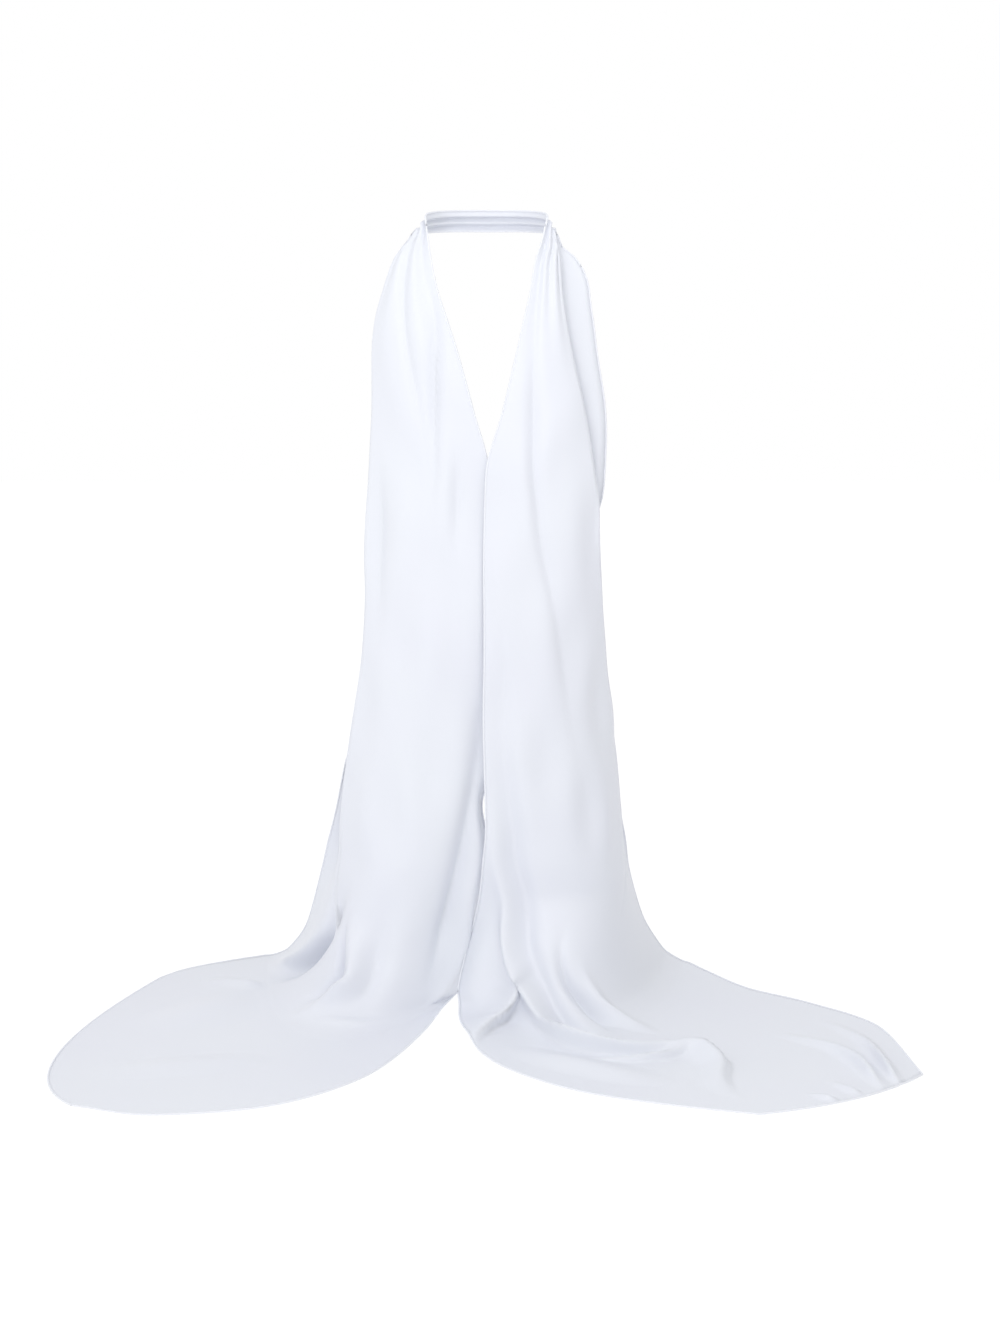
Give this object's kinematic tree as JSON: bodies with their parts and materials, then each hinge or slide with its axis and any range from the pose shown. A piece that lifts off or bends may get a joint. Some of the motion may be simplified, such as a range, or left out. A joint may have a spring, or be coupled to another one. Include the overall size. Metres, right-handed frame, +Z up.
{
  "type": "silk scarf",
  "caption": "Very long white silk scarf worn round the neck, meeting in a deep V, with two falls that trail out on the floor.",
  "frame": {"origin": "midway between the two tips beside the wearer's neck, 1.42 m above the floor that the trains lie on", "axes": "+Z up, -Y towards the front, +X towards the picture's right"},
  "size_m": [1.4645, 0.8464, 1.4279],
  "materials": {
    "nape": "satin",
    "left_fall": "satin",
    "left_train": "satin",
    "left_hem": "satin",
    "right_fall": "satin",
    "right_train": "satin",
    "right_hem": "satin"
  },
  "bodies": {
    "root": {"nape": "nape", "left_fall": "left_fall", "left_train": "left_train", "left_hem": "left_hem", "right_fall": "right_fall", "right_train": "right_train", "right_hem": "right_hem"}
  },
  "joints": []
}
